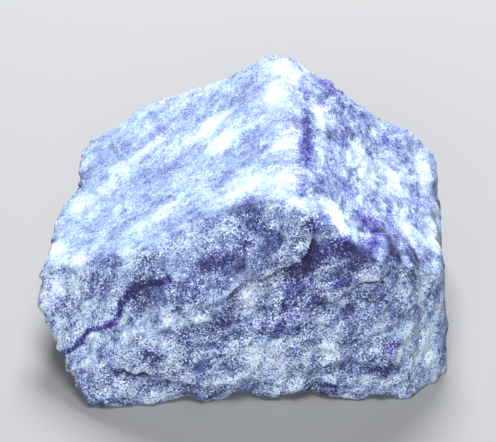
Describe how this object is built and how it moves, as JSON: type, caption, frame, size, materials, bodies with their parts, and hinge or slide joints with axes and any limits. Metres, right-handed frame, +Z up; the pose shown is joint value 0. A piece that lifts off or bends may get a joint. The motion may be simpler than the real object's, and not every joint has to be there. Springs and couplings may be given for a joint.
{
  "type": "raw aventurine stone",
  "caption": "Natural broken lump of raw blue aventurine with two sloping roof-like break faces, a rough ledged front and a flat base.",
  "frame": {"origin": "on the flat base, under the middle of the lump", "axes": "+X along the lump's length, +Z up, -Y towards the rough broken front"},
  "size_m": [0.0848, 0.0605, 0.0486],
  "materials": {
    "blue_aventurine": "sugary broken quartzite, satin with fine glints"
  },
  "bodies": {
    "root": {"aventurine": "blue_aventurine"}
  },
  "joints": []
}
